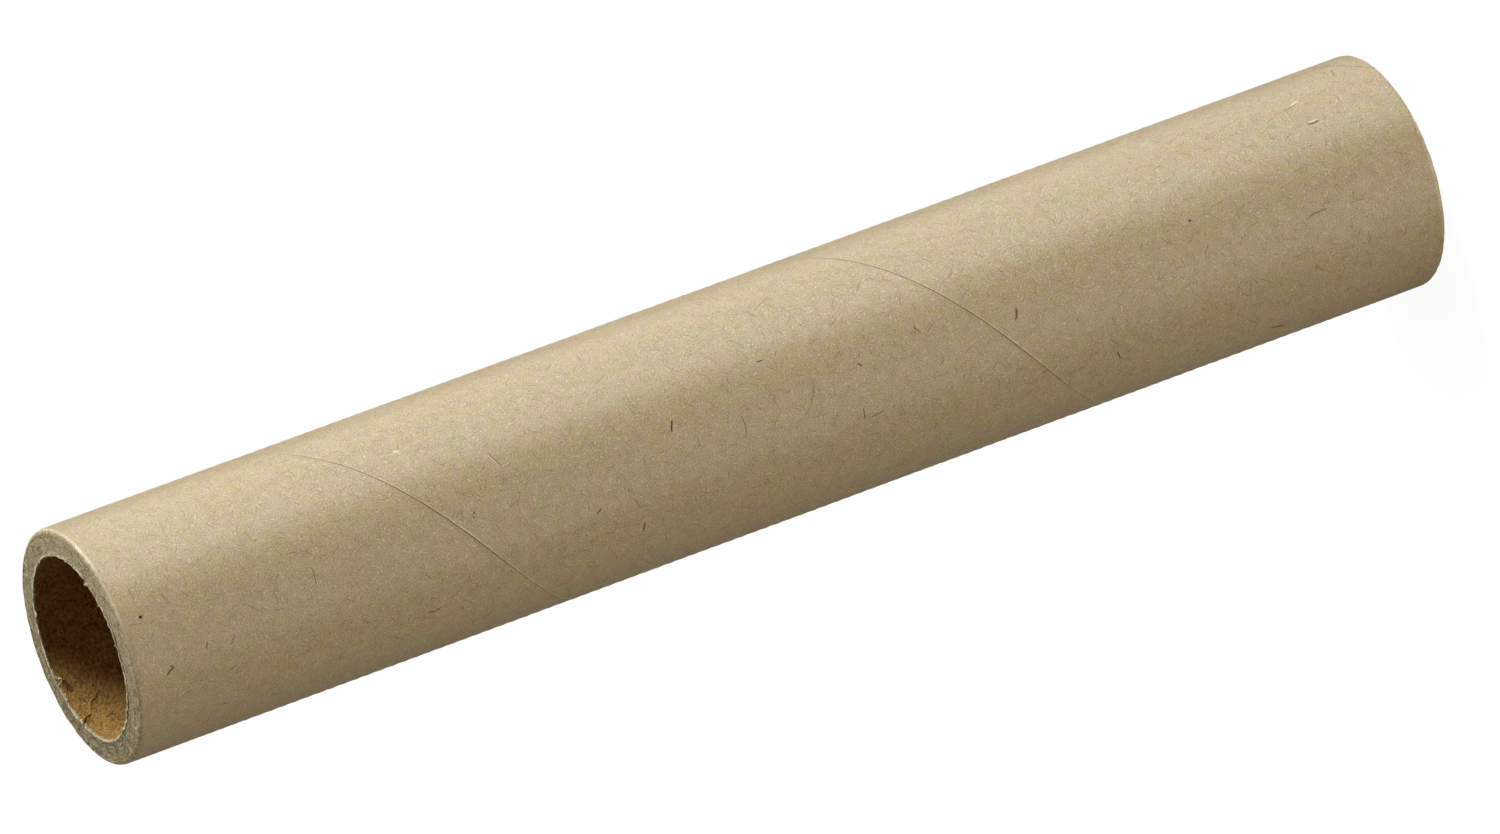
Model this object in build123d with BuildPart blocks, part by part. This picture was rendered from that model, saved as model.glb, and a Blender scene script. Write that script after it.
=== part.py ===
from build123d import *
import os

# Spiral-wound mailing tube, standing on one cut end.
# Origin: centre of the lower cut end. +Z runs up the tube's axis.
# It is wound from strips of paper on a mandrel, glued solid, and cut to length with a knife:
# a brown kraft liner, a thick wall of grey board plies, and a khaki kraft wrap.
# Every strip is a right-handed helix of the same pitch, and its edges meet in a butt seam.

# Driving dimensions, in millimetres and degrees
tube_length = 305.0
bore_diameter = 39.0
liner_thickness = 0.5
board_ply_thickness = 0.8
board_ply_count = 6
wrap_thickness = 0.2

# All the strips advance this far in one turn of the mandrel
winding_pitch = 125.0

# Gap between a strip's two edges, and where its seam meets the upper end, counted from +X
wrap_seam_gap = 0.25
wrap_seam_angle = 119.8
liner_seam_gap = 0.3
liner_seam_angle = 138.5

# The knife crushes the board's outer corners to a bevel and rolls the wrap over them
board_bevel = 0.9

# A cut end shows each glue line between two board plies as a shallow V groove
glue_line_depth = 0.1

# Sizes that follow
bore_radius = bore_diameter / 2
board_inner_radius = bore_radius + liner_thickness
board_outer_radius = board_inner_radius + board_ply_count * board_ply_thickness
tube_radius = board_outer_radius + wrap_thickness
rim_radius = board_bevel + wrap_thickness
board_face_radius = board_outer_radius - board_bevel
glue_line_side = glue_line_depth * 2**0.5
cut_ends = (0, tube_length)

# Each seam's slot reaches clear through its strip
wrap_seam_reach = rim_radius + wrap_thickness
liner_seam_reach = 2 * liner_thickness

os.makedirs("parts", exist_ok=True)


def seam_slot(strip_radius, reach, gap, end_angle):
    """Helical slot for the butt seam of a strip at strip_radius, as deep as reach to either side.
    It meets the upper end of the tube at end_angle, and runs out past both ends."""
    run_out = reach + gap
    turned = 360 * (tube_length + run_out) / winding_pitch
    with BuildPart() as slot:
        with BuildLine() as seam:
            Helix(
                winding_pitch,
                tube_length + 2 * run_out,
                strip_radius,
                center=(0, 0, -run_out),
            )
        with BuildSketch(Plane(seam.line ^ 0)):
            Rectangle(2 * reach, gap)
        sweep(path=seam.line, is_frenet=True)
    return slot.part.rotate(Axis.Z, end_angle - turned)


# Brown kraft liner: the inner strip, which the others are wound on
with BuildPart() as liner:
    with BuildSketch():
        Circle(board_inner_radius)
        Circle(bore_radius, mode=Mode.SUBTRACT)
    extrude(amount=tube_length)

    # Butt seam, a little wider than the one in the wrap
    add(
        seam_slot(bore_radius, liner_seam_reach, liner_seam_gap, liner_seam_angle),
        mode=Mode.SUBTRACT,
    )
liner.part.label = "liner"


# Grey board wall: the plies as one glued solid. Its outer corners are bevelled,
# with a step at each end for the cut edge of the wrap.
with BuildPart() as board_wall:
    with BuildSketch(Plane.XZ) as board_section:
        with BuildLine():
            Polyline(
                (board_inner_radius, 0),
                (board_face_radius, 0),
                (board_face_radius, wrap_thickness),
                (board_outer_radius, rim_radius),
                (board_outer_radius, tube_length - rim_radius),
                (board_face_radius, tube_length - wrap_thickness),
                (board_face_radius, tube_length),
                (board_inner_radius, tube_length),
                close=True,
            )
        make_face()
    revolve(axis=Axis.Z)

    # Glue lines, on the flat of each cut end: a square standing on its corner makes the V
    with BuildSketch(Plane.XZ):
        for height in cut_ends:
            for ply in range(1, board_ply_count):
                glue_line_radius = board_inner_radius + ply * board_ply_thickness
                if glue_line_radius + glue_line_depth < board_face_radius:
                    with Locations((glue_line_radius, height)):
                        Rectangle(glue_line_side, glue_line_side, rotation=45)
    revolve(axis=Axis.Z, mode=Mode.SUBTRACT)
board_wall.part.label = "board_wall"


# Khaki kraft wrap: the outer strip. It covers the wall and rolls over both rims,
# where the knife has cut it off flush with the end.
with BuildPart() as wrap:
    # A sleeve as deep as the rolled rims
    with BuildSketch():
        Circle(tube_radius)
        Circle(board_face_radius, mode=Mode.SUBTRACT)
    extrude(amount=tube_length)

    # Butt seam: the helical gap that makes the sleeve one wound strip
    add(
        seam_slot(tube_radius, wrap_seam_reach, wrap_seam_gap, wrap_seam_angle),
        mode=Mode.SUBTRACT,
    )

    # The strip itself: thin along the tube, and rounded over the bevel at both rims
    with BuildSketch(Plane.XZ) as wrap_section:
        with BuildLine():
            CenterArc((board_face_radius, tube_length - rim_radius), rim_radius, 0, 90)
            Polyline(
                (board_face_radius, tube_length),
                (board_face_radius, tube_length - wrap_thickness),
                (board_outer_radius, tube_length - rim_radius),
                (board_outer_radius, rim_radius),
                (board_face_radius, wrap_thickness),
                (board_face_radius, 0),
            )
            CenterArc((board_face_radius, rim_radius), rim_radius, -90, 90)
            Line((tube_radius, rim_radius), (tube_radius, tube_length - rim_radius))
        make_face()
    revolve(axis=Axis.Z, mode=Mode.INTERSECT)
wrap.part.label = "wrap"


for piece in (liner, board_wall, wrap):
    export_step(piece.part, f"parts/{piece.part.label}.step")
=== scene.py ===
import math

import bpy
import numpy as np
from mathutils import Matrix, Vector, noise


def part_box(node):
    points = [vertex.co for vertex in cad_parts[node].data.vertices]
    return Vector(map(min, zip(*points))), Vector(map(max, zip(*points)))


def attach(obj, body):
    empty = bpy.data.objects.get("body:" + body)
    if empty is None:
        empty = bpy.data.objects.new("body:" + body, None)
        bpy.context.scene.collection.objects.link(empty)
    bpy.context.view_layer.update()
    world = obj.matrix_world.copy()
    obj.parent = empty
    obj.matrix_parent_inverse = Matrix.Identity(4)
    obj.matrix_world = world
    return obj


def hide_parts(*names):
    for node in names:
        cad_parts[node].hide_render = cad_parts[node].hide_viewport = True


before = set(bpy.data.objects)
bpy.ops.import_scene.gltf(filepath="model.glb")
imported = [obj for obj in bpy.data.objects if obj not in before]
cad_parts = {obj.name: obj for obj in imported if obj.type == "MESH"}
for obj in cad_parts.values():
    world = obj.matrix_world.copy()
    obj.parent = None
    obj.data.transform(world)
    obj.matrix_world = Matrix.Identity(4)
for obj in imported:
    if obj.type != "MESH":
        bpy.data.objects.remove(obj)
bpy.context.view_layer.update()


# Liner: the innermost strip, a soft brown kraft paper half a millimetre thick. It is wound on
# the mandrel first, and the board is glued onto it. The knife that cut the tube to length tore
# its edge at each mouth into a pale ragged lip.
mm = 0.001
tube_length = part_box("wrap")[1].z
winding_pitch = 125 * mm
bore_radius = 19.5 * mm
liner_thickness = 0.5 * mm
liner_seam_gap = 0.3 * mm
liner_seam_end = math.radians(138.5)

# How far the two edges of its seam jag, wander and stand proud of the bore, and how far each
# closes in, which starts at a depth in the mouth and takes a length of the bore
seam_jag = 0.22 * mm
seam_wander = 1.1 * mm
seam_proud = 0.06 * mm
seam_closing = 0.15 * mm
closing_depth = 5 * mm
closing_length = 2.5 * mm

# How far down the bore the torn lip reaches, and how high it stands
lip_depth = 0.45 * mm
lip_height = 0.2 * mm

# The tears in the upper lip: angle, how far it bends into the bore, how far it stands up or
# is torn down, and how wide the tear is, in degrees and millimetres
lip_tears = [
    (103.2, 0.1, -1.3, 0.9),
    (106.9, 0.35, 0.15, 0.4),
    (128.0, 0.2, 0.15, 0.6),
    (264.0, 0.45, 0.25, 0.4),
    (290.0, 0.4, 0.3, 0.35),
    (307.0, 0.35, 0.3, 0.4),
    (333.0, 0.25, 0.1, 0.5),
    (24.0, 0.3, 0.1, 0.5),
    (61.0, 0.25, -0.2, 0.6),
    (180.0, 0.2, 0.2, 0.5),
    (221.0, 0.3, -0.25, 0.5),
]


def spaced(start, end, coarse, fine, places, flat, reach):
    """Numbers from start to end, fine apart within flat of any of the places and coarse apart
    from flat + reach on."""
    numbers = [start]
    while numbers[-1] < end:
        near = min(abs(numbers[-1] - place) for place in places)
        share = min(max(near - flat, 0) / reach, 1)
        numbers.append(numbers[-1] + fine + (coarse - fine) * share)
    numbers = np.array(numbers)
    return start + (numbers - start) * (end - start) / (numbers[-1] - start)


def relief(points, size, shift=0):
    """Smooth random heights from about -1 to 1 at the points, with bumps about as wide as size."""
    moved = points.reshape(-1, 3) / size + shift
    heights = [noise.noise(place) for place in moved.tolist()]
    return np.array(heights).reshape(points.shape[:-1])


def round_points(radius, angle, height):
    """Points from their distance from the tube's axis, their angle from +X and their height."""
    return np.stack([radius * np.cos(angle), radius * np.sin(angle), height], axis=-1)


def bump_at(distance, width):
    """1 where distance is nought, falling smoothly to an eighth a width away and then to nothing."""
    return np.exp(-2 * (distance / width) ** 2)


def angle_apart(angle, other):
    """How far angle lies from other, the short way round."""
    return np.abs((angle - other + math.pi) % (2 * math.pi) - math.pi)


def seam_angle(height, end_angle):
    """Where a strip's seam lies at each height, if it meets the upper end at end_angle."""
    return end_angle - 2 * math.pi * (tube_length - height) / winding_pitch


def vertex_points(mesh):
    """The places of a mesh's vertices, a row each."""
    points = np.empty(3 * len(mesh.vertices))
    mesh.vertices.foreach_get("co", points)
    return points.reshape(-1, 3)


def move_vertices(mesh, points):
    """Moves a mesh's vertices to points, but none below the ground."""
    points[..., 2] = np.maximum(points[..., 2], 0)
    mesh.vertices.foreach_set("co", points.ravel())
    mesh.update()


def roll_sheet(name, across, along, points):
    """Adds a flat sheet of paper and rolls it, so that each point of its grid goes to its place
    in points. Its UV map keeps the places across and along the flat sheet, in metres."""
    bpy.ops.object.select_all(action="DESELECT")
    rows, columns = across.shape
    bpy.ops.mesh.primitive_grid_add(x_subdivisions=columns - 1, y_subdivisions=rows - 1)
    sheet = bpy.context.object
    sheet.name = name
    mesh = sheet.data
    corners = np.empty(len(mesh.loops), dtype=int)
    mesh.loops.foreach_get("vertex_index", corners)
    flat = np.stack([across, along], axis=-1).reshape(-1, 2)[corners]
    mesh.uv_layers.active.data.foreach_set("uv", flat.ravel())
    move_vertices(mesh, points)
    return sheet


def thicken(sheet, thickness):
    """Gives a sheet its thickness, on the side that doesn't show. Its cut edges stay sharp."""
    wall = sheet.modifiers.new("paper thickness", "SOLIDIFY")
    wall.thickness = thickness
    wall.offset = -1
    bpy.ops.object.modifier_apply(modifier=wall.name)
    move_vertices(sheet.data, vertex_points(sheet.data))
    bpy.ops.object.shade_smooth_by_angle(angle=math.radians(50))


# The liner's sheet: its columns run beside the seam and its rows go up the bore, both finer
# near the seam and the mouths, where it is torn
bore_turn = 2 * math.pi * bore_radius
liner_gap_around = liner_seam_gap * math.hypot(bore_turn, winding_pitch) / winding_pitch
liner_width = bore_turn - liner_gap_around
tear_angles = [math.radians(tear[0]) for tear in lip_tears]
tear_places = [bore_radius * (tear - liner_seam_end) % bore_turn for tear in tear_angles]
columns = spaced(
    0, liner_width, coarse=0.36 * mm, fine=0.2 * mm,
    places=[0, liner_width] + tear_places, flat=0.5 * mm, reach=1 * mm,
)
rows = spaced(
    0, tube_length, coarse=9 * mm, fine=0.25 * mm,
    places=[0, tube_length], flat=3 * mm, reach=60 * mm,
)
across, along = np.meshgrid(columns, rows)
angle = seam_angle(along, liner_seam_end) + (across + liner_gap_around / 2) / bore_radius
smooth = round_points(bore_radius, angle, along)
upright = smooth * [0, 0, 1]

# The seam's two edges are jagged, and stand a little proud of the bore. Further in they close up.
to_seam = np.minimum(across, liner_width - across)
at_seam = bump_at(to_seam, 0.5 * mm)
jagged = relief(upright, 0.7 * mm, 3) + relief(upright, 2.5 * mm, 8)
side = np.where(across < liner_width / 2, 1, -1)
angle = angle + at_seam * seam_jag * jagged * side / bore_radius
wander = relief(upright, 2.2 * mm, 5) + 0.5 * relief(upright, 1 * mm, 6)
angle = angle + bump_at(to_seam, 2 * mm) * seam_wander * wander / bore_radius
depth = np.minimum(along, tube_length - along)
closed = np.clip((depth - closing_depth) / closing_length, 0, 1)
angle = angle - bump_at(to_seam, 1.5 * mm) * seam_closing * closed * side / bore_radius

# The torn lips
at_lip = np.exp(-depth / lip_depth)
upper_half = along > tube_length / 2
lip_rise = lip_height + 0.17 * mm * relief(smooth, 0.9 * mm, 5) + 0.1 * mm * relief(smooth, 3 * mm, 7)
lip_lean = 0.3 * mm * relief(smooth, 0.8 * mm, 9) + 0.15 * mm * relief(smooth, 2.5 * mm, 10)
for tear_angle, (_, lean, rise, width) in zip(tear_angles, lip_tears):
    torn = bump_at(bore_radius * angle_apart(angle, tear_angle), width * mm) * upper_half
    lip_lean = lip_lean + lean * mm * torn
    lip_rise = lip_rise + rise * mm * torn
radius = bore_radius - at_lip * lip_lean - seam_proud * at_seam * (1 - closed)
radius = radius + 0.08 * mm * relief(smooth, 6 * mm) + 0.05 * mm * relief(smooth, 1.8 * mm, 2)
height = along + np.where(upper_half, 1, -1) * at_lip * lip_rise
liner = roll_sheet("wound_liner", across, along, round_points(radius, angle, height))

# The bore is the side that shows
bpy.ops.object.mode_set(mode="EDIT")
bpy.ops.mesh.select_all(action="SELECT")
bpy.ops.mesh.flip_normals()
bpy.ops.object.mode_set(mode="OBJECT")
thicken(liner, liner_thickness)


def colour(code):
    """A linear colour, from its sRGB hex code."""
    channels = [int(code[i:i + 2], 16) / 255 for i in (1, 3, 5)]
    return [c / 12.92 if c <= 0.04045 else ((c + 0.055) / 1.055) ** 2.4 for c in channels] + [1]


def new_material(name):
    """An empty node material, its tree and its surface shader."""
    material = bpy.data.materials.new(name)
    material.use_nodes = True
    return material, material.node_tree, material.node_tree.nodes["Principled BSDF"]


def node(tree, kind, inputs, **settings):
    """Adds a shader node with its settings. Each input, by name or number, gets a value, or a link
    from a socket or from a node's first output."""
    added = tree.nodes.new("ShaderNode" + kind)
    for name, value in settings.items():
        setattr(added, name, value)
    for key, value in inputs.items():
        if isinstance(key, int):
            socket = added.inputs[key]
        else:
            socket = next(s for s in added.inputs if s.enabled and s.name == key)
        if isinstance(value, bpy.types.Node):
            value = next(s for s in value.outputs if s.enabled)
        if isinstance(value, bpy.types.NodeSocket):
            tree.links.new(value, socket)
        else:
            socket.default_value = value
    return added


def sheet_places(tree, turn):
    """Where a point lies on a wound sheet, in millimetres: its place in the paper, as (around,
    along, 0), its distance across the strip, and how far it is from mid height."""
    uv = node(tree, "UVMap", {})
    flat = node(tree, "VectorMath", {0: uv, 1: (1 / mm, 1 / mm, 0)}, operation="MULTIPLY")
    axes = node(tree, "SeparateXYZ", {0: flat})
    across, along = axes.outputs["X"], axes.outputs["Y"]
    around = node(tree, "Math", {0: along, 1: turn / winding_pitch, 2: across}, operation="MULTIPLY_ADD")
    place = node(tree, "CombineXYZ", {0: around, 1: along})
    from_middle = node(tree, "Math", {0: along, 1: tube_length / 2 / mm}, operation="SUBTRACT")
    past_middle = node(tree, "Math", {0: from_middle}, operation="ABSOLUTE")
    return place, across, past_middle


def own_place(tree):
    """Where a point lies on the tube, in millimetres."""
    own = node(tree, "TexCoord", {}).outputs["Object"]
    return node(tree, "VectorMath", {0: own, 1: (1 / mm, 1 / mm, 1 / mm)}, operation="MULTIPLY")


def seen_from_above(tree, own):
    """Where a point lies as seen along the tube's axis, and its distance from that axis."""
    flat = node(tree, "VectorMath", {0: own, 1: (1, 1, 0)}, operation="MULTIPLY")
    return flat, node(tree, "VectorMath", {0: flat}, operation="LENGTH").outputs["Value"]


def stroke(tree, place, angle, curl, length, width):
    """A mask of one curved fibre, length by width in millimetres, that lies at the middle of place."""
    turned = node(tree, "VectorRotate", {"Vector": place, "Angle": angle}, rotation_type="Z_AXIS")
    axes = node(tree, "SeparateXYZ", {0: turned})
    x, y = axes.outputs["X"], axes.outputs["Y"]
    squared = node(tree, "Math", {0: x, 1: x}, operation="MULTIPLY")
    bowed = node(tree, "Math", {0: squared, 1: curl, 2: y}, operation="MULTIPLY_ADD")
    beside = node(tree, "Math", {0: bowed}, operation="ABSOLUTE")
    beyond = node(tree, "Math", {0: x}, operation="ABSOLUTE")
    thin = node(tree, "MapRange", {"Value": beside, "From Min": 0.7 * width, "From Max": 0.25 * width})
    short = node(tree, "MapRange", {"Value": beyond, "From Min": 0.5 * length, "From Max": 0.3 * length})
    return node(tree, "Math", {0: thin, 1: short}, operation="MULTIPLY")


def fibres(tree, place, number, apart, length, width, share):
    """A mask of fibres scattered over the paper, one to a cell apart wide in a share of the cells,
    each with its own direction and curl. Another number moves them all to other places."""
    moved = node(tree, "VectorMath", {0: place, 1: (7.3 * number, 3.1 * number, 0)}, operation="ADD")
    cells = node(tree, "TexVoronoi", {"Vector": moved, "Scale": 1 / apart}, voronoi_dimensions="2D")
    chance = node(tree, "SeparateColor", {0: cells.outputs["Color"]})
    in_cell = node(tree, "VectorMath", {0: moved, 1: cells.outputs["Position"]}, operation="SUBTRACT")
    turn = node(tree, "Math", {0: chance.outputs["Red"], 1: 2 * math.pi}, operation="MULTIPLY")
    curl = node(tree, "Math", {0: chance.outputs["Green"], 1: 0.3, 2: -0.15}, operation="MULTIPLY_ADD")
    mask = stroke(tree, in_cell, turn, curl, length, width)
    kept = node(tree, "Math", {0: chance.outputs["Blue"], 1: share}, operation="LESS_THAN")
    return node(tree, "Math", {0: mask, 1: kept}, operation="MULTIPLY")


def tint(tree, base, mask, strength, code):
    """The base colour with another laid over it where the mask is, as strongly as strength."""
    share = node(tree, "Math", {0: mask, 1: strength}, operation="MULTIPLY")
    return node(tree, "Mix", {"Factor": share, "A": base, "B": colour(code)}, data_type="RGBA")


# Soft brown kraft, unglazed: matt, fuzzy and mottled, with long brown and straw fibres
paper, tree, shader = new_material("soft brown kraft")
place, _, past_middle = sheet_places(tree, bore_turn)
blotch = node(tree, "TexNoise", {"Vector": place, "Scale": 0.22, "Detail": 3}, noise_dimensions="2D")
grain = node(tree, "TexNoise", {"Vector": place, "Scale": 1.4, "Detail": 3, "Roughness": 0.7},
             noise_dimensions="2D")
darker = node(tree, "MapRange", {"Value": blotch, "From Min": 0.5, "From Max": 0.75})
speckled = node(tree, "MapRange", {"Value": grain, "From Min": 0.46, "From Max": 0.68})
pitted = node(tree, "MapRange", {"Value": grain, "From Min": 0.48, "From Max": 0.3})
wavy = node(tree, "TexNoise", {"Vector": place, "Scale": 0.5, "Detail": 1}, noise_dimensions="2D")
bent = node(tree, "VectorMath", {0: wavy.outputs["Color"], 1: (1.2, 1.2, 0), 2: place},
            operation="MULTIPLY_ADD")
long_dark = fibres(tree, bent, 1, 2.6, 2.6, 0.3, 0.6)
long_pale = fibres(tree, bent, 2, 2.2, 2.0, 0.25, 0.5)
base = tint(tree, colour("#CC9A52"), darker, 0.5, "#A67032")
base = tint(tree, base, speckled, 0.8, "#EABD70")
base = tint(tree, base, pitted, 0.45, "#744414")
base = tint(tree, base, long_dark, 0.4, "#6E4618")
base = tint(tree, base, long_pale, 0.4, "#D2B070")

# Where it is torn at the mouths, the paper's pale inside shows, with dull notches in it
torn_from = tube_length / 2 / mm
ragged = node(tree, "Math", {0: grain, 1: 0.9, 2: past_middle}, operation="MULTIPLY_ADD")
torn = node(tree, "MapRange", {"Value": ragged, "From Min": torn_from + 0.08, "From Max": torn_from + 0.26})
base = tint(tree, base, torn, 0.95, "#F2E4C2")
notches = node(tree, "TexNoise", {"Vector": place, "Scale": 1.1, "Detail": 2, "Roughness": 0.7})
notched = node(tree, "MapRange", {"Value": notches, "From Min": 0.56, "From Max": 0.62})
notched = node(tree, "Math", {0: notched, 1: torn}, operation="MULTIPLY")
base = tint(tree, base, notched, 0.65, "#7A6640")

# Behind the lip, where the liner meets the board, it is grey
own = own_place(tree)
flat, from_axis = seen_from_above(tree, own)
patchy = node(tree, "TexNoise", {"Vector": flat, "Scale": 0.8, "Detail": 3})
edge = node(tree, "Math", {0: patchy, 1: 0.9, 2: from_axis}, operation="MULTIPLY_ADD")
behind = node(tree, "MapRange", {"Value": edge, "From Min": 20.28, "From Max": 20.42})
behind = node(tree, "Math", {0: behind, 1: torn}, operation="MULTIPLY")
base = tint(tree, base, behind, 0.9, "#8F866A")

# A reddish stain beside the deepest tear, at this place in millimetres
stain_place = (-6.67, 18.32, 303.4)
from_stain = node(tree, "VectorMath", {0: own, 1: stain_place}, operation="DISTANCE")
stained = node(tree, "Math", {0: grain, 1: 2.0, 2: from_stain}, operation="MULTIPLY_ADD")
stained = node(tree, "MapRange", {"Value": stained, "From Min": 2.3, "From Max": 1.7})
base = tint(tree, base, stained, 0.75, "#7A3A1A")

tree.links.new(base.outputs[2], shader.inputs["Base Color"])
height = node(tree, "Math", {0: grain, 1: long_pale}, operation="ADD")
bump = node(tree, "Bump", {"Height": height, "Strength": 1.0, "Distance": 0.7 * mm})
tree.links.new(bump.outputs[0], shader.inputs["Normal"])
shader.inputs["Roughness"].default_value = 0.85
shader.inputs["IOR"].default_value = 1.45
shader.inputs["Specular IOR Level"].default_value = 0.2
liner.data.materials.append(paper)
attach(liner, "root")
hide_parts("liner")


# Board wall: six plies of grey recycled board, wound over the liner and glued solid, nearly
# five millimetres thick. Only its two cut ends show, coarse and fuzzy from the knife, with
# faint rings where one ply meets the next and the outer corners crushed to a bevel.
board_ply = 0.8 * mm
board_inner_radius = 20.0 * mm
board_outer_radius = 24.8 * mm
board_face_radius = 23.9 * mm
bevel_step = 0.2 * mm
bevel_end = 1.1 * mm
ring_steps = 540
face_rows = 20

# The face flakes most beside the bevel
flake_radius = 23.2 * mm
flake_height = 0.45 * mm

# What is nearer than this is in the same place
same = 0.01 * mm

# The lower part of its section, drawn from the liner out along the cut face, over the bevel and
# up a quarter of the outside. The upper part mirrors it.
lower_section = [
    (board_inner_radius + i * (board_face_radius - board_inner_radius) / face_rows, 0)
    for i in range(face_rows + 1)
]
lower_section += [(board_face_radius, bevel_step), (board_outer_radius, bevel_end)]
lower_section += [(board_outer_radius, tube_length / 4)]
upper_section = [(r, tube_length - z) for r, z in reversed(lower_section)]
section = lower_section + [(board_outer_radius, tube_length / 2)] + upper_section
section += [(board_inner_radius, tube_length / 2), (board_inner_radius, 0)]

bpy.ops.object.select_all(action="DESELECT")
bpy.ops.mesh.primitive_plane_add(size=mm)
board = bpy.context.object
board.name = "cut_board_wall"
bpy.ops.object.mode_set(mode="EDIT")
bpy.ops.mesh.select_all(action="SELECT")
bpy.ops.mesh.merge(type="CENTER")
bpy.ops.transform.translate(value=(section[0][0], 0, 0))
for (r0, z0), (r1, z1) in zip(section, section[1:]):
    bpy.ops.mesh.extrude_vertices_move(TRANSFORM_OT_translate={"value": (r1 - r0, 0, z1 - z0)})
bpy.ops.mesh.select_all(action="SELECT")
bpy.ops.mesh.spin(steps=ring_steps, angle=2 * math.pi, center=(0, 0, 0), axis=(0, 0, 1))
bpy.ops.mesh.select_all(action="SELECT")
bpy.ops.mesh.remove_doubles(threshold=same)
bpy.ops.mesh.normals_make_consistent(inside=False)
bpy.ops.object.mode_set(mode="OBJECT")

# The knife leaves both cut faces grainy, grooved at the glue lines and flaked near the rim
points = vertex_points(board.data)
radius = np.hypot(points[:, 0], points[:, 1])
on_face = np.minimum(points[:, 2], tube_length - points[:, 2]) < same
on_face = on_face & (radius > board_inner_radius + same)
upwards = np.where(points[:, 2] > tube_length / 2, 1, -1)
from_glue = np.abs((radius - board_inner_radius + board_ply / 2) % board_ply - board_ply / 2)
glue_line = bump_at(from_glue, 0.25 * mm) * (0.5 + 0.5 * relief(points, 6 * mm, 4))
rough = 0.08 * relief(points, 0.6 * mm) + 0.07 * relief(points, 1.4 * mm, 2) - 0.08 * glue_line
flakes = np.maximum(relief(points, 1.1 * mm, 11) - 0.25, 0) * bump_at(radius - flake_radius, 1.2 * mm)
points[:, 2] += upwards * on_face * (rough * mm + flakes * flake_height)
move_vertices(board.data, points)
bpy.ops.object.shade_smooth_by_angle(angle=math.radians(40))

# Grey recycled board: matt and granular, of short grey, straw and dark fibres. The pattern is
# in millimetres, and its streaks follow the plies.
paper, tree, shader = new_material("grey recycled board")
own = own_place(tree)
_, from_axis = seen_from_above(tree, own)
drawn_out = node(tree, "VectorMath", {0: own, 1: (0.35, 0.35, 0.35)}, operation="MULTIPLY")
grain = node(tree, "TexNoise", {"Vector": own, "Scale": 2.0, "Detail": 3, "Roughness": 0.75})
clumps = node(tree, "TexNoise", {"Vector": own, "Scale": 0.55, "Detail": 2})
streaks = node(tree, "TexNoise", {"Vector": drawn_out, "W": from_axis, "Scale": 1.1, "Detail": 2},
               noise_dimensions="4D")
pale = node(tree, "MapRange", {"Value": grain, "From Min": 0.52, "From Max": 0.64})
dark = node(tree, "MapRange", {"Value": grain, "From Min": 0.48, "From Max": 0.38})
clump = node(tree, "MapRange", {"Value": clumps, "From Min": 0.46, "From Max": 0.62})
streak = node(tree, "MapRange", {"Value": streaks, "From Min": 0.52, "From Max": 0.62})
pale_streak = node(tree, "MapRange", {"Value": streaks, "From Min": 0.46, "From Max": 0.36})

# Painted shade: the face is darkened towards the side away from the light
light_side = (0.87, -0.5, 0)
lit = node(tree, "VectorMath", {0: own, 1: light_side}, operation="DOT_PRODUCT").outputs["Value"]
painted_shade = node(tree, "MapRange", {"Value": lit, "From Min": 25, "From Max": -22})
base = tint(tree, colour("#B2A385"), painted_shade, 0.85, "#726447")
base = tint(tree, base, streak, 0.55, "#6C6248")
base = tint(tree, base, pale_streak, 0.45, "#D2C4A0")
base = tint(tree, base, clump, 0.4, "#C3B494")
base = tint(tree, base, pale, 0.6, "#DACCA8")
base = tint(tree, base, dark, 0.7, "#4C402A")

# Pale flakes of paper lie near its rim, and bits of the liner's torn edge cling beside the bore
flaked = node(tree, "TexNoise", {"Vector": own, "Scale": 1.1, "Detail": 1, "W": 5}, noise_dimensions="4D")
flaked = node(tree, "MapRange", {"Value": flaked, "From Min": 0.62, "From Max": 0.68})
outer = node(tree, "MapRange", {"Value": from_axis, "From Min": 21.5, "From Max": 23})
flaked = node(tree, "Math", {0: flaked, 1: outer}, operation="MULTIPLY")
base = tint(tree, base, flaked, 0.8, "#E0D4B2")
edge_grain = node(tree, "Math", {0: grain, 1: -2.6, 2: from_axis}, operation="MULTIPLY_ADD")
near_bore = node(tree, "MapRange", {"Value": edge_grain, "From Min": 18.95, "From Max": 18.75})
base = tint(tree, base, near_bore, 0.7, "#DCCFAE")

# The outside of the last ply is brown with glue, as the wrap's seam shows
glued = node(tree, "MapRange", {"Value": from_axis, "From Min": 24.4, "From Max": 24.7})
base = tint(tree, base, glued, 0.85, "#C4A674")

tree.links.new(base.outputs[2], shader.inputs["Base Color"])
height = node(tree, "Math", {0: grain, 1: clumps}, operation="ADD")
bump = node(tree, "Bump", {"Height": height, "Strength": 1.0, "Distance": 0.3 * mm})
tree.links.new(bump.outputs[0], shader.inputs["Normal"])
shader.inputs["Roughness"].default_value = 0.9
shader.inputs["IOR"].default_value = 1.45
shader.inputs["Specular IOR Level"].default_value = 0.2
board.data.materials.append(paper)
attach(board, "root")
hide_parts("board_wall")


# Wrap: the outer strip, a khaki kraft paper 0.2 mm thick with a machine-glazed face. It is wound
# last, its edges meet in an open butt seam, and the knife rolls its ends over the board's
# crushed corners and leaves their cut edge pale.
tube_radius = 25.0 * mm
wrap_thickness = 0.2 * mm
wrap_rim = 1.1 * mm
wrap_seam_gap = 0.25 * mm
wrap_seam_end = math.radians(119.8)

# A seam of the board beneath shows through as a faint dip, beside the wrap's own seam
board_seam_end = math.radians(179.5)
board_seam_dip = 0.04 * mm

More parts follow.
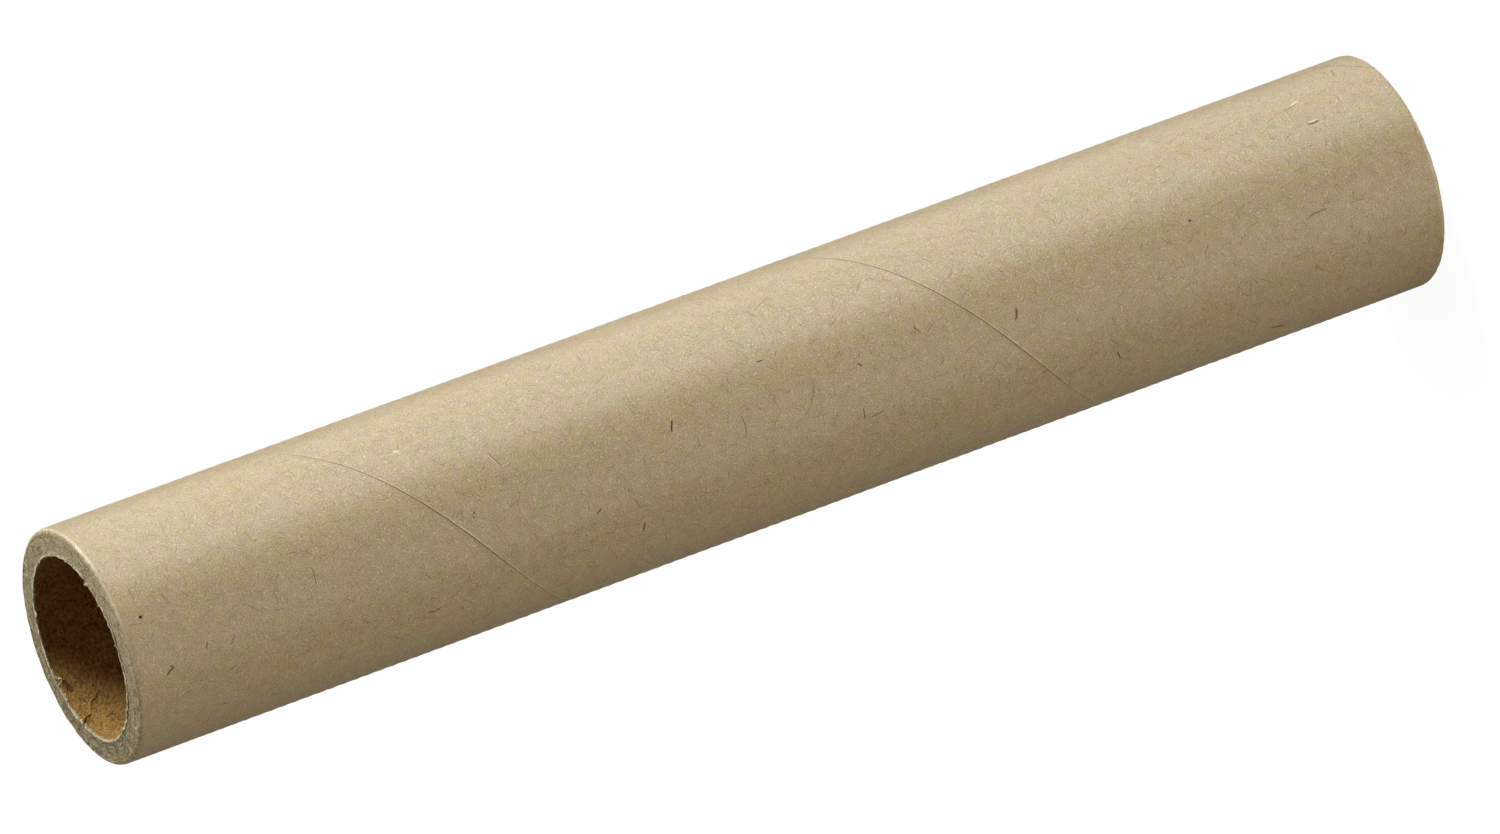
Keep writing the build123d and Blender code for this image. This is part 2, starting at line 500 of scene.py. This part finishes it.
# How far each edge of the wrap's seam closes in, more or less by its unevenness. The photograph
# loses the seam low on the tube, where it closes further, about the angle where it is lost.
seam_narrowed = 0.07 * mm
seam_uneven = 0.05 * mm
seam_lost = 0.05 * mm
lost_angle = math.radians(-185)
lost_cosine = 0.33
lost_blend = 0.16

wrap_turn = 2 * math.pi * tube_radius
wrap_gap_around = wrap_seam_gap * math.hypot(wrap_turn, winding_pitch) / winding_pitch
wrap_width = wrap_turn - wrap_gap_around
show_through = (board_seam_end - wrap_seam_end) * tube_radius
rolled_over = (math.pi / 2 - 1) * wrap_rim
columns = spaced(
    0, wrap_width, coarse=0.62 * mm, fine=0.15 * mm,
    places=[0, wrap_width, show_through], flat=0.3 * mm, reach=2 * mm,
)
rows = spaced(
    -rolled_over, tube_length + rolled_over, coarse=2.8 * mm, fine=0.15 * mm,
    places=[-rolled_over, tube_length + rolled_over], flat=1.7 * mm, reach=25 * mm,
)
across, along = np.meshgrid(columns, rows)
lower_bend = np.clip((wrap_rim - along) / wrap_rim, 0, math.pi / 2)
upper_bend = np.clip((along - tube_length + wrap_rim) / wrap_rim, 0, math.pi / 2)
straight = np.clip(along, wrap_rim, tube_length - wrap_rim)
angle = seam_angle(straight, wrap_seam_end) + (across + wrap_gap_around / 2) / tube_radius
smooth = round_points(tube_radius, angle, along)
upright = smooth * [0, 0, 1]

# The knife stopped a little short of the end here and there
bend = np.maximum(lower_bend, upper_bend)
bend = bend * (1 - 0.1 * np.abs(relief(smooth, 1.2 * mm, 3)) - 0.06 * np.abs(relief(smooth, 6 * mm, 6)))

# The paper lifts a little here and there, beside its seam and where it is crushed at the rims
to_seam = np.minimum(across, wrap_width - across)
cut_edge = np.clip((bend - 1.2) / 0.37, 0, 1)
lift = 0.05 * mm + 0.04 * mm * relief(smooth, 28 * mm) + 0.025 * mm * relief(smooth, 7 * mm, 5)
shown = np.clip(2 * relief(smooth, 30 * mm, 9), 0, 1)
lift = lift - board_seam_dip * bump_at(across - show_through, 0.9 * mm) * shown
lift = lift + 0.03 * mm * bump_at(to_seam, 0.8 * mm) * (1 + relief(smooth, 9 * mm, 8))
lift = lift * (1 - 0.6 * cut_edge) + 0.09 * mm * cut_edge * np.abs(relief(smooth, 0.9 * mm, 12))
lift = lift + 0.1 * mm * np.clip(bend / 0.8, 0, 1) * relief(smooth, 1.7 * mm, 14)
reach = wrap_rim + lift
radius = board_face_radius + reach * np.cos(bend)
height = straight + np.where(along > tube_length / 2, 1, -1) * reach * np.sin(bend)

# The gap of the seam isn't quite even
side = np.where(across < wrap_width / 2, 1, -1)
uneven = relief(upright, 4 * mm, 2) + relief(upright, 22 * mm, 4)
lost = np.clip((np.cos(angle - lost_angle) - lost_cosine) / lost_blend, 0, 1)
ajar = seam_uneven * uneven - seam_narrowed - seam_lost * lost
angle = angle + bump_at(to_seam, 1 * mm) * side * ajar / tube_radius
wrap = roll_sheet("wound_wrap", across, along, round_points(radius, angle, height))
thicken(wrap, wrap_thickness)

# Machine-glazed khaki kraft: a smooth, slightly waxy sheet, mottled rosy, yellowish and pinkish,
# thicker and paler or thinner and darker in places, and finely grained
paper, tree, shader = new_material("machine-glazed khaki kraft")
place, across_mm, past_middle = sheet_places(tree, wrap_turn)
wavy = node(tree, "TexNoise", {"Vector": place, "Scale": 0.25, "Detail": 1}, noise_dimensions="2D")
bent = node(tree, "VectorMath", {0: wavy.outputs["Color"], 1: (2.0, 2.0, 0), 2: place},
            operation="MULTIPLY_ADD")
blotch = node(tree, "TexNoise", {"Vector": place, "Scale": 0.08, "Detail": 2}, noise_dimensions="2D")
cloud = node(tree, "TexNoise", {"Vector": place, "Scale": 0.26, "Detail": 2}, noise_dimensions="2D")
spread = node(tree, "TexNoise", {"Vector": bent, "Scale": 0.5, "Detail": 1}, noise_dimensions="2D")
flock = node(tree, "TexNoise", {"Vector": place, "Scale": 0.4, "Detail": 2}, noise_dimensions="2D")
grain = node(tree, "TexNoise", {"Vector": place, "Scale": 3.4, "Detail": 2, "Roughness": 0.6},
             noise_dimensions="2D")
rosy = node(tree, "MapRange", {"Value": blotch, "From Min": 0.42, "From Max": 0.62})
pink = node(tree, "MapRange", {"Value": cloud, "From Min": 0.44, "From Max": 0.62})
yellow = node(tree, "MapRange", {"Value": spread, "From Min": 0.45, "From Max": 0.65})
thick = node(tree, "MapRange", {"Value": flock, "From Min": 0.5, "From Max": 0.7})
thin = node(tree, "MapRange", {"Value": flock, "From Min": 0.5, "From Max": 0.3})
pale = node(tree, "MapRange", {"Value": grain, "From Min": 0.52, "From Max": 0.66})
dark = node(tree, "MapRange", {"Value": grain, "From Min": 0.5, "From Max": 0.34})
base = tint(tree, colour("#CBB88E"), rosy, 0.6, "#D2B18A")
base = tint(tree, base, yellow, 0.6, "#CBB578")
base = tint(tree, base, pink, 0.6, "#D1AE96")
base = tint(tree, base, thick, 0.25, "#DCCAA2")
base = tint(tree, base, thin, 0.25, "#AF9B70")
base = tint(tree, base, pale, 0.42, "#EFE1BE")
base = tint(tree, base, dark, 0.38, "#987F54")

# Straw, brown, reddish and cream fibres lie every way in it. Real ones are about 0.04 mm wide,
# too fine to show, so the strokes are about 0.2 mm. Each sort has its number, how far apart
# they lie, their length and width, in what share of the places, their strength and colour.
for number, apart, length, width, share, strength, code in [
    (1, 4.2, 3.2, 0.16, 0.45, 0.50, "#8A7040"),
    (2, 1.9, 1.4, 0.17, 0.55, 0.50, "#8E7546"),
    (3, 5.5, 2.8, 0.17, 0.35, 0.50, "#8C5E3E"),
    (4, 3.6, 2.0, 0.17, 0.40, 0.35, "#F4E8CA"),
    (5, 1.4, 0.7, 0.19, 0.50, 0.50, "#F6ECD0"),
    (6, 7.5, 4.0, 0.17, 0.35, 0.40, "#A08840"),
    (7, 2.6, 0.5, 0.30, 0.35, 0.30, "#A8744C"),
    (8, 2.3, 0.6, 0.30, 0.40, 0.30, "#E4C47C"),
]:
    base = tint(tree, base, fibres(tree, bent, number, apart, length, width, share), strength, code)


def on_wrap(around, up):
    """The place in the wrap's paper of a point on the tube, from its angle in degrees and its
    height in millimetres."""
    seam = seam_angle(up * mm, wrap_seam_end)
    from_seam = (math.radians(around) - seam) % (2 * math.pi) * tube_radius / mm
    return (from_seam + up * wrap_turn / winding_pitch, up, 0)


# The hairs and specks that stand out: angle and height on the tube, direction, curl, length
# and width, and colour. The last four are on the side that the photograph doesn't show.
for around, up, direction, curl, length, width, code in [
    (-86.8, 300.3, 0.3, 0, 0.8, 0.7, "#120C06"),
    (-94.6, 225.3, 0.5, 0, 0.6, 0.4, "#6A5C42"),
    (-96.6, 225.7, 0.5, 0, 0.6, 0.4, "#6A5C42"),
    (-88.4, 178.6, 0.44, 0.05, 2.9, 0.38, "#3A3222"),
    (-74.0, 155.2, -1.48, 0.05, 1.7, 0.3, "#6A4E36"),
    (-94.7, 99.0, 0.38, -0.12, 3.0, 0.5, "#8A4A2C"),
    (-115.4, 297.5, 0.98, 0.12, 2.6, 0.34, "#664026"),
    (-113.6, 296.8, -0.7, 0, 1.0, 0.3, "#9A4630"),
    (-97.0, 262.3, 0.07, -0.03, 4.6, 0.20, "#8A7048"),
    # The next two are one raised fibre: a dark crescent, and a pale stroke beside it that is a painted
    # highlight
    (-56.7, 20.4, 1.57, -0.12, 3.1, 0.36, "#54442A"),
    (-55.5, 20.3, 1.57, -0.12, 2.6, 0.3, "#F2E6C8"),
    (-74.8, 216.8, 2.77, 0, 4.6, 0.22, "#9A8054"),
    (-74.6, 217.2, 2.77, 0, 4.0, 0.2, "#E8D8B4"),
    (-53.3, 234.7, 1.86, 0, 1.5, 0.7, "#F0DCC4"),
    (-114.4, 198.9, 0.98, 0.1, 1.9, 0.3, "#6E4028"),
    (-109.9, 288.6, 0.4, 0.1, 1.8, 0.28, "#7A4E34"),
    (-135.0, 237.8, 1.57, -0.12, 3.6, 0.3, "#6E4E30"),
    (-99.1, 147.5, 0.546, -0.057, 8.8, 0.17, "#8E7850"),
    (-99.8, 163.3, 0.04, -0.1, 5.3, 0.2, "#8A6E4A"),
    (-114.4, 137.2, 0, 0, 2.6, 0.26, "#7A5C40"),
    (-117.0, 134.5, 1.45, 0, 4.5, 0.2, "#8E6448"),
    (-131.0, 189.3, 0.22, 0.05, 2.6, 0.3, "#5E4228"),
    (-85.5, 120.8, 2.52, 0.1, 2.4, 0.24, "#A0644C"),
    (-91.7, 135.3, 2.29, 0, 1.3, 0.3, "#6E5A3C"),
    (-45.0, 148.1, 1.1, 0, 5.5, 0.2, "#A48E60"),
    (-55.2, 127.8, 0.785, 0.05, 3.8, 0.2, "#9C845A"),
    (-42.8, 22.2, 1.3, -0.08, 5.0, 0.26, "#9C8258"),
    (-40.9, 21.0, 1.3, 0, 2.4, 0.5, "#F0E4C4"),
    (-27.8, 8.3, 0.31, 0, 4.4, 0.4, "#9E8A54"),
    (-98.5, 28.3, 1.5, 0.03, 5.5, 0.24, "#6E5C40"),
    (-81.6, 55.7, 0, 0, 0.7, 0.5, "#4E422E"),
    (-132.9, 78.0, 2.74, 0, 2.4, 0.3, "#6E4C2C"),
    (-155.0, 39.2, 1.83, 0.05, 4.2, 0.34, "#4A3C24"),
    (32.0, 262.0, 1.1, 0.1, 3.0, 0.3, "#5A4A34"),
    (75.0, 121.0, 2.4, 0.15, 2.6, 0.3, "#6E4A34"),
    (140.0, 208.0, 0.2, 0.1, 2.0, 0.3, "#4A4132"),
    (165.0, 60.0, 1.7, 0.2, 3.2, 0.3, "#7A5A44"),
]:
    from_hair = node(tree, "VectorMath", {0: place, 1: on_wrap(around, up)}, operation="SUBTRACT")
    base = tint(tree, base, stroke(tree, from_hair, direction, curl, length, width), 1.0, code)

# The rims are crushed dull, scuffed and grimy. The dull grey band reaches further down on the side away from
# the light, and that extra reach is painted shade.
own = own_place(tree)
lit_side = node(tree, "VectorMath", {0: own, 1: (0.8, -0.6, 0)}, operation="DOT_PRODUCT").outputs["Value"]
ragged = node(tree, "Math", {0: grain, 1: 1.6, 2: past_middle}, operation="MULTIPLY_ADD")
further = node(tree, "MapRange", {"Value": lit_side, "From Min": 10, "From Max": -15, "To Max": 0.7})
rim_depth = node(tree, "Math", {0: ragged, 1: further}, operation="ADD")
cut_from = (tube_length / 2 + rolled_over) / mm
crushed_and_shaded = node(tree, "MapRange", {"Value": rim_depth, "From Min": cut_from - 0.3, "From Max": cut_from + 0.4})
base = tint(tree, base, crushed_and_shaded, 0.8, "#9A8D6E")
coarse = node(tree, "TexNoise", {"Vector": own, "Scale": 1.5, "Detail": 3, "Roughness": 0.75})
scuffed = node(tree, "MapRange", {"Value": coarse, "From Min": 0.52, "From Max": 0.64})
scuffed = node(tree, "Math", {0: scuffed, 1: crushed_and_shaded}, operation="MULTIPLY")
base = tint(tree, base, scuffed, 0.7, "#DCCFA8")
grimy = node(tree, "MapRange", {"Value": coarse, "From Min": 0.48, "From Max": 0.38})
grimy = node(tree, "Math", {0: grimy, 1: crushed_and_shaded}, operation="MULTIPLY")
base = tint(tree, base, grimy, 0.7, "#5C5034")

# Painted highlight: the crest of the rim is painted pale in patches on the side towards the light, where it
# catches the light
from_crest = node(tree, "Math", {0: ragged, 1: cut_from - 0.25}, operation="SUBTRACT")
from_crest = node(tree, "Math", {0: from_crest}, operation="ABSOLUTE")
crest_highlight = node(tree, "MapRange", {"Value": from_crest, "From Min": 0.3, "From Max": 0.1})
towards_light = node(tree, "MapRange", {"Value": lit_side, "From Min": 8, "From Max": 20})
crest_highlight = node(tree, "Math", {0: crest_highlight, 1: towards_light}, operation="MULTIPLY")
patches = node(tree, "TexNoise", {"Vector": own, "Scale": 0.35, "Detail": 3, "Roughness": 0.7})
patches = node(tree, "MapRange", {"Value": patches, "From Min": 0.42, "From Max": 0.58, "To Min": 0.25})
crest_highlight = node(tree, "Math", {0: crest_highlight, 1: patches}, operation="MULTIPLY")
base = tint(tree, base, crest_highlight, 0.85, "#F4E6CA")

# The cut edge is pale at the rims. One side of the seam is tinted a little pale, partly its pale cut edge and
# partly a painted highlight where that edge catches the light
cut = node(tree, "MapRange", {"Value": ragged, "From Min": cut_from + 0.85, "From Max": cut_from + 1.1})
base = tint(tree, base, cut, 0.5, "#E6DCC2")
beside = node(tree, "MapRange", {"Value": across_mm, "From Min": 0.45, "From Max": 0.2})
base = tint(tree, base, beside, 0.3, "#F0E0B8")

# The glazed face is smoother where its grain is low, and matt over the crushed rim band, also where that band
# reaches further as painted shade
tree.links.new(base.outputs[2], shader.inputs["Base Color"])
height = node(tree, "Math", {0: grain, 1: cloud}, operation="ADD")
bump = node(tree, "Bump", {"Height": height, "Strength": 0.6, "Distance": 0.06 * mm})
tree.links.new(bump.outputs[0], shader.inputs["Normal"])
glossy = {"From Min": 0.3, "From Max": 0.7, "To Min": 0.27, "To Max": 0.37}
gloss = node(tree, "MapRange", {"Value": grain, **glossy})
matt = node(tree, "Math", {0: crushed_and_shaded, 1: 0.5, 2: gloss}, operation="MULTIPLY_ADD")
tree.links.new(matt.outputs[0], shader.inputs["Roughness"])
shader.inputs["IOR"].default_value = 1.5
wrap.data.materials.append(paper)
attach(wrap, "root")
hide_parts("wrap")


# Studio: a floor and backdrop that look white but give hardly any light. A key lamp stands beside
# the tube, and a small one above lights its bore. The rest shine up through the floor: four near
# ones, which the tube's glazed face mirrors as a soft sheen, two far fills, and one for its back.
floor_size = 12
floor_drop = 0.2 * mm
floor_grey = 0.12
floor_white = 0.95
floor_mirrored = 0.025
backdrop_light = 0.035

bpy.ops.object.select_all(action="DESELECT")
bpy.ops.mesh.primitive_plane_add(size=floor_size, location=(0, 0, -floor_drop))
floor = bpy.context.object
floor.name = "studio_floor"
floor.visible_shadow = False
surface, tree, shader = new_material("white studio floor")
tree.nodes.remove(shader)
rays = node(tree, "LightPath", {})
dimly = node(tree, "Math", {0: rays.outputs["Is Glossy Ray"], 1: floor_mirrored}, operation="MULTIPLY")
seen = node(tree, "Math", {0: rays.outputs["Is Camera Ray"], 1: dimly}, operation="MAXIMUM")
seen = node(tree, "Math", {0: seen, 1: rays.outputs["Is Transmission Ray"]}, operation="MAXIMUM")
matt = node(tree, "BsdfDiffuse", {"Color": [floor_grey] * 3 + [1]})
glow = node(tree, "Emission", {"Color": [floor_white] * 3 + [1], "Strength": seen})
both = node(tree, "AddShader", {0: matt, 1: glow})
tree.links.new(both.outputs[0], tree.nodes["Material Output"].inputs["Surface"])
floor.data.materials.append(surface)

world = bpy.data.worlds.new("white backdrop")
bpy.context.scene.world = world
world.use_nodes = True
tree = world.node_tree
rays = node(tree, "LightPath", {})
seen = rays.outputs["Is Camera Ray"]
for kind in ("Is Glossy Ray", "Is Transmission Ray"):
    seen = node(tree, "Math", {0: seen, 1: rays.outputs[kind]}, operation="MAXIMUM")
level = node(tree, "MapRange", {"Value": seen, "To Min": backdrop_light, "To Max": 1.0})
tree.links.new(level.outputs[0], tree.nodes["Background"].inputs["Strength"])
tree.nodes["Background"].inputs["Color"].default_value = (1, 1, 1, 1)


def softbox(name, azimuth, elevation, distance, width, height, level, tone):
    """A lamp that faces the middle of the tube from azimuth, counted from +X, and elevation, in
    degrees. Its distance, width and height are in metres. A surface that faces it shows level
    times its own colour, with a cast of tone."""
    lamp = bpy.data.lights.new(name, "AREA")
    lamp.shape = "RECTANGLE"
    lamp.size = width
    lamp.size_y = height
    lamp.energy = level * (math.pi * distance) ** 2
    lamp.color = tone
    # The floor lets lamplight through but hides the lamps, so no ray has to find them
    lamp.cycles.use_multiple_importance_sampling = False
    box = bpy.data.objects.new(name, lamp)
    bpy.context.scene.collection.objects.link(box)
    flat = math.cos(math.radians(elevation))
    towards = Vector((
        flat * math.cos(math.radians(azimuth)),
        flat * math.sin(math.radians(azimuth)),
        math.sin(math.radians(elevation)),
    ))
    box.location = Vector((0, 0, tube_length / 2)) + distance * towards
    box.rotation_euler = towards.to_track_quat("Z", "Y").to_euler()
    box.visible_camera = False
    return box


cool = (0.93, 0.98, 1.0)
warm = (1.0, 0.965, 0.86)
plain = (1.0, 1.0, 1.0)
softbox("key", -2, 26, 1.2, 0.5, 0.5, 0.76, cool)
softbox("sheen front", -37, -21, 3, 1.26, 1.5, 0.19, cool)
softbox("sheen middle", -17, -21, 3, 1.32, 1.5, 0.12, cool)
softbox("sheen back", 16, -21, 3, 2.4, 1.5, 0.17, cool)
softbox("sheen edge", 63, -21, 3, 2.2, 1.5, 0.022, plain)
softbox("fill", -100, -45, 16, 12, 8, 0.06, warm)
softbox("low fill", -120, -45, 16, 12, 8, 0.55, warm)

# This one would glint on the lower edge, so it is kept out of mirrored light
back = softbox("back fill", 100, -35, 8, 6, 4, 0.40, warm)
back.visible_glossy = False

softbox("top", 0, 87.3, 3.5, 0.27, 0.27, 0.37, warm)


# The camera's place, its turn and its lens are fitted to the tube's outline in the photograph
camera_data = bpy.data.cameras.new("camera")
camera_data.lens = 523.124
camera_data.sensor_width = 36
camera_data.clip_start = 0.1
camera_data.clip_end = 50
camera = bpy.data.objects.new("camera", camera_data)
bpy.context.scene.collection.objects.link(camera)
camera.location = (-0.00282, -4.07621, 1.86310)
camera.rotation_euler = [math.radians(turn) for turn in (-39.3728, 59.9432, -133.4741)]
bpy.context.scene.camera = camera
bpy.context.scene.view_settings.view_transform = "Standard"
